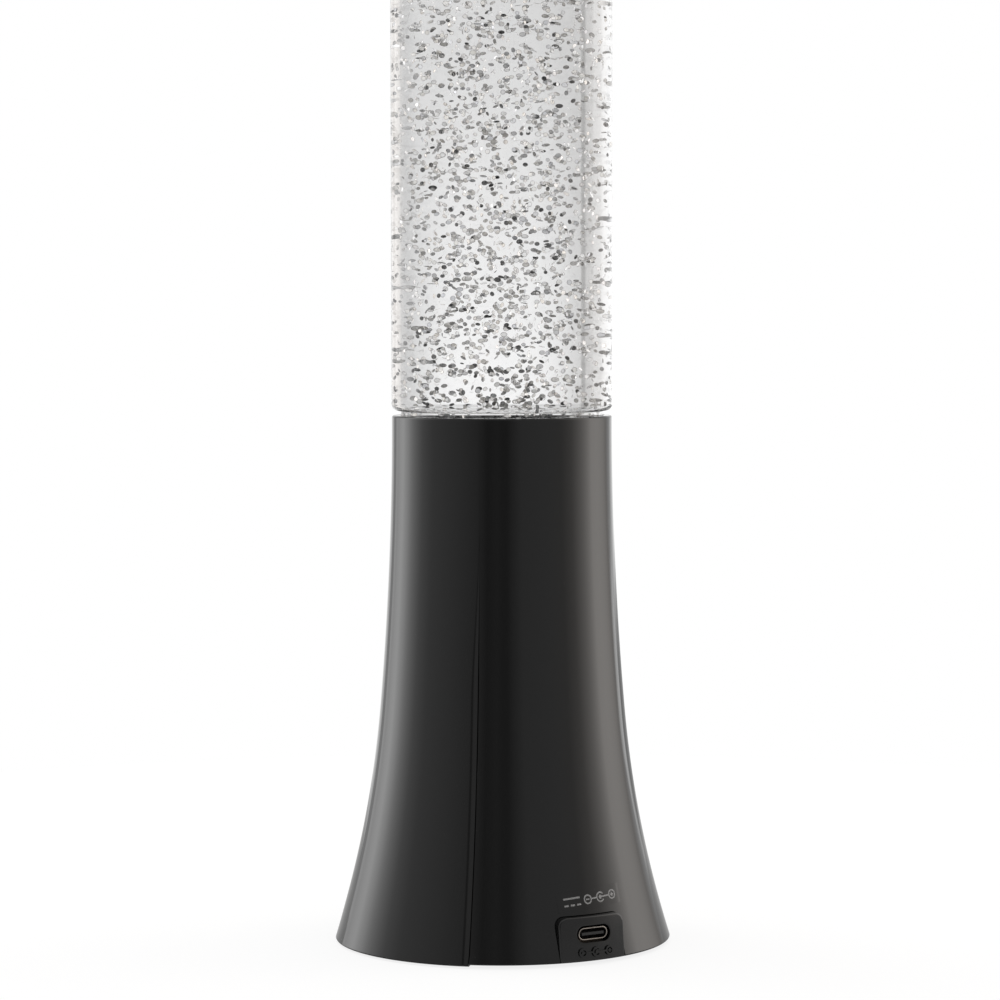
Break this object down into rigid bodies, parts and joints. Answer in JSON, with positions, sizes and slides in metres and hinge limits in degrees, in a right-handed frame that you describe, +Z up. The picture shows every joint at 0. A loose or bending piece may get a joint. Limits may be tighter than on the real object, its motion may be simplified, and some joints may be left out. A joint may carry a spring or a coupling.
{
  "type": "glitter lamp",
  "caption": "Free-standing glitter lamp: a clear liquid-filled bottle with silver flakes, on a flared glossy base with a power socket at its foot, and closed by a cap.",
  "frame": {"origin": "on the table, under the bottle's axis, at the centre of the bottom", "axes": "+Z up along the bottle's axis, -Y towards the power socket, +X to the right of the socket"},
  "size_m": [0.09, 0.09, 0.38],
  "materials": {
    "shell_gloss": "high-gloss black moulded plastic",
    "tray_plastic": "gloss black moulded plastic, finely worn",
    "bottle_clear": "clear polished plastic",
    "liquid": "clear water-like liquid",
    "silver_flake": "silvered film, cut into flakes 1 mm across",
    "print_ink": "grey ink of the symbols printed above the socket",
    "inner_plastic": "plain black moulded plastic",
    "white_plastic": "plain white moulded plastic",
    "foot_rubber": "soft black rubber",
    "stopper_rubber": "pale grey silicone",
    "screw_steel": "zinc-plated steel",
    "socket_steel": "drawn stainless steel",
    "motor_steel": "zinc-plated drawn steel",
    "magnet_nickel": "nickel-plated magnet",
    "pin_steel": "ground stainless steel",
    "board_green": "solder mask over glass-fibre board",
    "lamp_white": "lamp body with a clear window",
    "contact_metal": "tinned brass contacts",
    "lead_pvc": "flat two-core lead, red insulation"
  },
  "bodies": {
    "lamp": {"shell_port_side": "shell_gloss", "shell_far_side": "shell_gloss", "bottom_tray": "tray_plastic", "rubber_feet": "foot_rubber", "tray_screws": "screw_steel", "power_board": "board_green", "board_screw": "screw_steel", "board_components": "inner_plastic", "socket_shell": "socket_steel", "socket_insert": "inner_plastic", "switch_frame": "screw_steel", "switch_body": "inner_plastic", "silver_flakes": "silver_flake", "switch_pins": "contact_metal", "lamp_lead": "lead_pvc", "motor_lead": "lead_pvc", "switch_lead": "lead_pvc", "motor_deck": "white_plastic", "deck_screws": "screw_steel", "motor_can": "motor_steel", "motor_end_cap": "inner_plastic", "motor_terminals": "contact_metal", "motor_board": "board_green", "lamp_board": "board_green", "lamps": "lamp_white", "bottle": "bottle_clear", "glitter_liquid": "liquid", "pivot_pin": "pin_steel", "bottle_stopper": "stopper_rubber", "top_cap": "shell_gloss"},
    "rotor": {"motor_shaft": "pin_steel", "magnet_carrier": "white_plastic", "drive_magnets": "magnet_nickel"},
    "stirrer": {"stirrer": "white_plastic", "stirrer_magnets": "magnet_nickel"},
    "knob": {"switch_knob": "inner_plastic"}
  },
  "joints": [
    {"name": "rotor_spin", "type": "hinge", "parent": "lamp", "child": "rotor", "pos_m": [0, 0, 0.1254], "axis": [0, 0, 1], "continuous": true},
    {"name": "stirrer_spin", "type": "hinge", "parent": "lamp", "child": "stirrer", "pos_m": [0, 0, 0.1319], "axis": [0, 0, 1], "continuous": true},
    {"name": "switch_slide", "type": "slide", "parent": "lamp", "child": "knob", "axis": [1, 0, 0], "range_m": [0, 0.003]}
  ],
  "couplings": [
    {"joint": "stirrer_spin", "follows": "rotor_spin", "ratio": 1}
  ]
}
